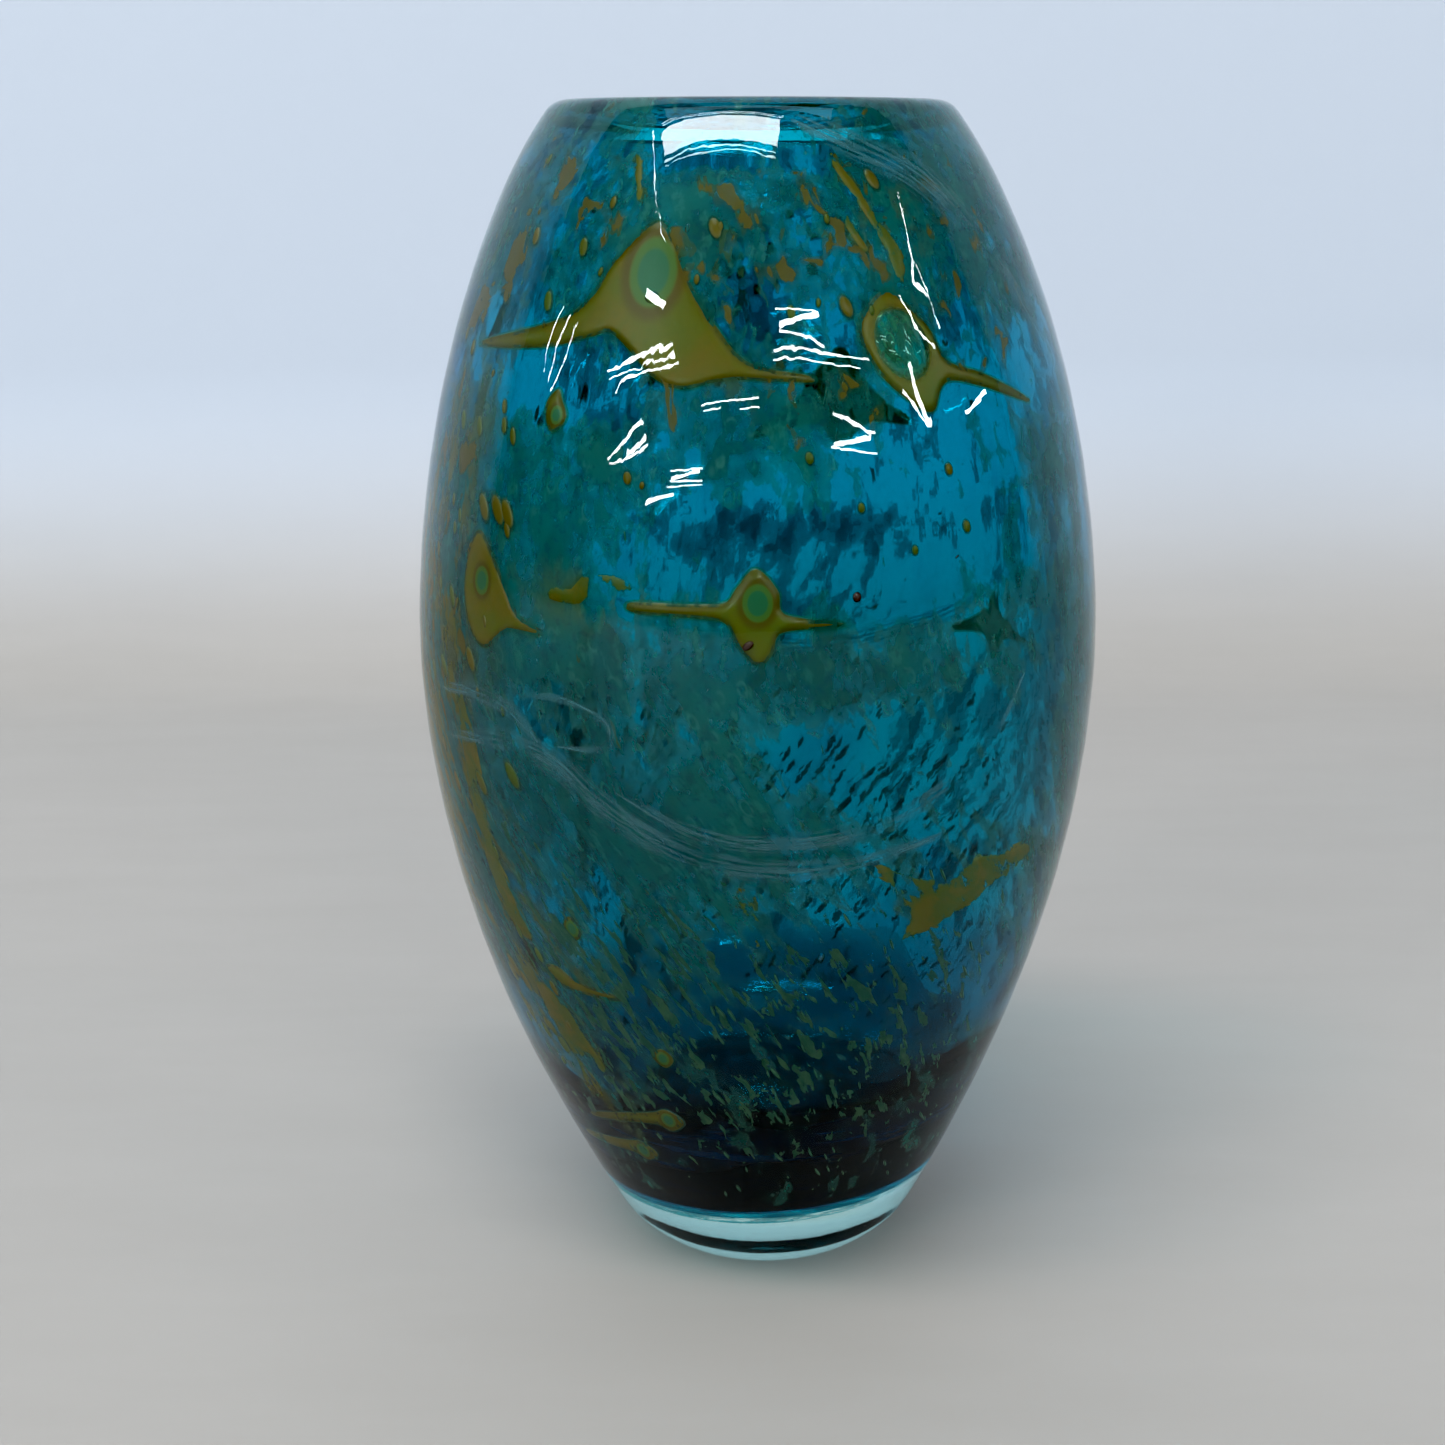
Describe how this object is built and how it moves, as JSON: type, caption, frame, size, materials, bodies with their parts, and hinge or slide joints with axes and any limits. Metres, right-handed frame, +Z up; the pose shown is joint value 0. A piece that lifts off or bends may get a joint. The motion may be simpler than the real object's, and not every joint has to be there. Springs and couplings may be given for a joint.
{
  "type": "art glass vase",
  "caption": "Egg-shaped hand-blown glass vase with a clear foot, cased turquoise and sage colour layers, ochre glass drops and a small fire-polished mouth.",
  "frame": {"origin": "centre of the flat under the foot, which is the middle of the bottom of the bounding box", "axes": "+Z up along the vase's axis, -Y is the front with the large ochre drop, +X to the right"},
  "size_m": [0.096, 0.096, 0.1646],
  "materials": {
    "clear_glass": "clear pale aqua soda glass, fire-polished, ground and polished flat under the foot",
    "turquoise_glass": "transparent turquoise blue glass with deeper teal drifts",
    "amethyst_glass": "very dark violet glass, nearly black where it is thick",
    "sage_frit": "opaque grey-green frit, melted in and drawn into speckles, veils and streaks",
    "ochre_glass": "mustard ochre glass chips melted flush, darker amber at their edges"
  },
  "bodies": {
    "root": {"clear_foot": "clear_glass", "outer_casing": "clear_glass", "inner_lining": "clear_glass", "turquoise_overlay": "turquoise_glass", "amethyst_base_cup": "amethyst_glass", "frit_veil": "sage_frit", "ochre_kite_drop": "ochre_glass", "ochre_ring_drop": "ochre_glass", "ochre_eye_drop": "ochre_glass", "ochre_smear": "ochre_glass", "ochre_edge_drop": "ochre_glass", "ochre_small_drip": "ochre_glass", "ochre_left_streak": "ochre_glass", "ochre_low_splash": "ochre_glass", "ochre_dot": "ochre_glass", "ochre_comet": "ochre_glass", "ochre_seed_ring": "ochre_glass", "ochre_high_tadpole": "ochre_glass", "ochre_low_tadpole": "ochre_glass", "ochre_right_cloud": "ochre_glass", "ochre_mid_trail": "ochre_glass", "ochre_shoulder_trail": "ochre_glass", "ochre_shoulder_drip": "ochre_glass", "ochre_neck_trail": "ochre_glass", "ochre_back_drop": "ochre_glass", "ochre_back_eye": "ochre_glass", "ochre_back_streak": "ochre_glass"}
  },
  "joints": []
}
